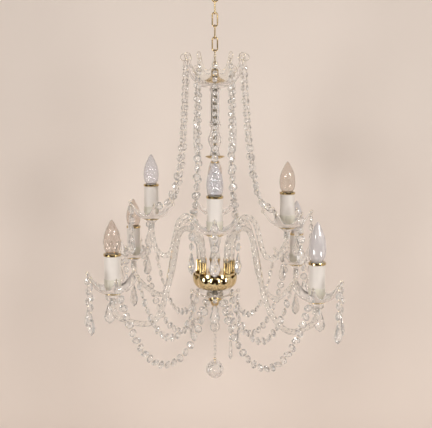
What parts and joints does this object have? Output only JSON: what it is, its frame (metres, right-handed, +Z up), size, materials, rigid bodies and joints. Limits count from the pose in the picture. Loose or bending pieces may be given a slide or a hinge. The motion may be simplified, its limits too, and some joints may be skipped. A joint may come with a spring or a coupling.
{
  "type": "crystal chandelier",
  "caption": "Crystal chandelier with two tiers of curved glass candle arms, glass drip pans, hanging bead strands and drops, a brass stem cup and bowl, and a short hanging chain.",
  "frame": {"origin": "middle of the ceiling plate's upper face, where it meets the ceiling", "axes": "+Z up, -Y towards the camera of the picture, +X to its right"},
  "size_m": [0.5132, 0.5086, 0.8691],
  "materials": {
    "polished_brass": "polished",
    "clear_glass": "clear, moulded and ribbed",
    "cut_crystal": "clear, cut and polished",
    "bulb_glass": "clear or pale bulb glass",
    "candle_white": "satin white sleeve",
    "holder_white": "moulded"
  },
  "bodies": {
    "ceiling_fitting": {"ceiling_plate": "polished_brass", "ceiling_hook": "polished_brass"},
    "link_1": {"chain_link_1": "polished_brass"},
    "link_2": {"chain_link_2": "polished_brass"},
    "link_3": {"chain_link_3": "polished_brass"},
    "link_4": {"chain_link_4": "polished_brass"},
    "link_5": {"chain_link_5": "polished_brass"},
    "chandelier": {"arm_ferrules": "polished_brass", "candle_fittings": "polished_brass", "candle_tubes": "candle_white", "centre_rod": "polished_brass", "dish_pendants": "cut_crystal", "finial_cup": "polished_brass", "jump_rings": "polished_brass", "lampholders": "holder_white", "lower_arm_1": "clear_glass", "lower_arm_2": "clear_glass", "lower_arm_3": "clear_glass", "lower_arm_4": "clear_glass", "lower_dish": "clear_glass", "lower_pan_1": "clear_glass", "lower_pan_2": "clear_glass", "lower_pan_3": "clear_glass", "lower_pan_4": "clear_glass", "lower_pendants": "cut_crystal", "mid_cup": "polished_brass", "prism_drops": "cut_crystal", "receiver_bowl": "polished_brass", "receiver_plate": "polished_brass", "shade_rings": "polished_brass", "stem_baluster": "clear_glass", "stem_lower": "clear_glass", "stem_tube": "clear_glass", "strand_beads_large": "cut_crystal", "strand_beads_small": "cut_crystal", "strand_pins": "polished_brass", "swag_beads": "cut_crystal", "top_cap": "polished_brass", "top_dish": "clear_glass", "top_loop": "polished_brass", "upper_arm_1": "clear_glass", "upper_arm_2": "clear_glass", "upper_arm_3": "clear_glass", "upper_arm_4": "clear_glass", "upper_pan_1": "clear_glass", "upper_pan_2": "clear_glass", "upper_pan_3": "clear_glass", "upper_pan_4": "clear_glass", "upper_pendants": "cut_crystal"},
    "lower_bulb_1_body": {"lower_bulb_1": "bulb_glass"},
    "lower_bulb_2_body": {"lower_bulb_2": "bulb_glass"},
    "lower_bulb_3_body": {"lower_bulb_3": "bulb_glass"},
    "lower_bulb_4_body": {"lower_bulb_4": "bulb_glass"},
    "upper_bulb_1_body": {"upper_bulb_1": "bulb_glass"},
    "upper_bulb_2_body": {"upper_bulb_2": "bulb_glass"},
    "upper_bulb_3_body": {"upper_bulb_3": "bulb_glass"},
    "upper_bulb_4_body": {"upper_bulb_4": "bulb_glass"},
    "front_drop_body": {"front_drop": "cut_crystal"},
    "ball_strand_body": {"ball_strand": "cut_crystal"},
    "ball_body": {"ball": "cut_crystal"}
  },
  "joints": [
    {"name": "hook_swing", "type": "hinge", "parent": "ceiling_fitting", "child": "link_1", "pos_m": [0, 0, -0.0465], "axis": [1, 0, 0], "range_deg": [-30, 30]},
    {"name": "link_1_sway", "type": "hinge", "parent": "link_1", "child": "link_2", "pos_m": [0, 0, -0.0717], "axis": [0, 1, 0], "range_deg": [-30, 30]},
    {"name": "link_2_swing", "type": "hinge", "parent": "link_2", "child": "link_3", "pos_m": [0, 0, -0.0974], "axis": [1, 0, 0], "range_deg": [-30, 30]},
    {"name": "link_3_sway", "type": "hinge", "parent": "link_3", "child": "link_4", "pos_m": [0, 0, -0.1231], "axis": [0, 1, 0], "range_deg": [-30, 30]},
    {"name": "link_4_swing", "type": "hinge", "parent": "link_4", "child": "link_5", "pos_m": [0, 0, -0.1488], "axis": [1, 0, 0], "range_deg": [-30, 30]},
    {"name": "cap_loop_sway", "type": "hinge", "parent": "link_5", "child": "chandelier", "pos_m": [0, 0, -0.1745], "axis": [0, 1, 0], "range_deg": [-30, 30]},
    {"name": "lower_bulb_1_twist", "type": "hinge", "parent": "chandelier", "child": "lower_bulb_1_body", "pos_m": [-0.1994, -0.1994, -0.56343], "axis": [0, 0, 1], "range_deg": [0, 15]},
    {"name": "lower_bulb_2_twist", "type": "hinge", "parent": "chandelier", "child": "lower_bulb_2_body", "pos_m": [0.1994, -0.1994, -0.58057], "axis": [0, 0, 1], "range_deg": [0, 15]},
    {"name": "lower_bulb_3_twist", "type": "hinge", "parent": "chandelier", "child": "lower_bulb_3_body", "pos_m": [0.1994, 0.1994, -0.58057], "axis": [0, 0, 1], "range_deg": [0, 15]},
    {"name": "lower_bulb_4_twist", "type": "hinge", "parent": "chandelier", "child": "lower_bulb_4_body", "pos_m": [-0.1994, 0.1994, -0.56343], "axis": [0, 0, 1], "range_deg": [0, 15]},
    {"name": "upper_bulb_1_twist", "type": "hinge", "parent": "chandelier", "child": "upper_bulb_1_body", "pos_m": [0, -0.158, -0.455], "axis": [0, 0, 1], "range_deg": [0, 15]},
    {"name": "upper_bulb_2_twist", "type": "hinge", "parent": "chandelier", "child": "upper_bulb_2_body", "pos_m": [0.158, 0, -0.46179], "axis": [0, 0, 1], "range_deg": [0, 15]},
    {"name": "upper_bulb_3_twist", "type": "hinge", "parent": "chandelier", "child": "upper_bulb_3_body", "pos_m": [0, 0.158, -0.455], "axis": [0, 0, 1], "range_deg": [0, 15]},
    {"name": "upper_bulb_4_twist", "type": "hinge", "parent": "chandelier", "child": "upper_bulb_4_body", "pos_m": [-0.14283, 0.05199, -0.44886], "axis": [0, 0, 1], "range_deg": [0, 15]},
    {"name": "front_drop_swing", "type": "hinge", "parent": "chandelier", "child": "front_drop_body", "pos_m": [0, -0.051, -0.6694], "axis": [1, 0, 0], "range_deg": [-25, 25]},
    {"name": "ball_strand_swing", "type": "hinge", "parent": "chandelier", "child": "ball_strand_body", "pos_m": [0, 0, -0.7139], "axis": [1, 0, 0], "range_deg": [-30, 30]},
    {"name": "ball_swing", "type": "hinge", "parent": "ball_strand_body", "child": "ball_body", "pos_m": [0, 0, -0.82395], "axis": [0, 1, 0], "range_deg": [-30, 30]}
  ]
}
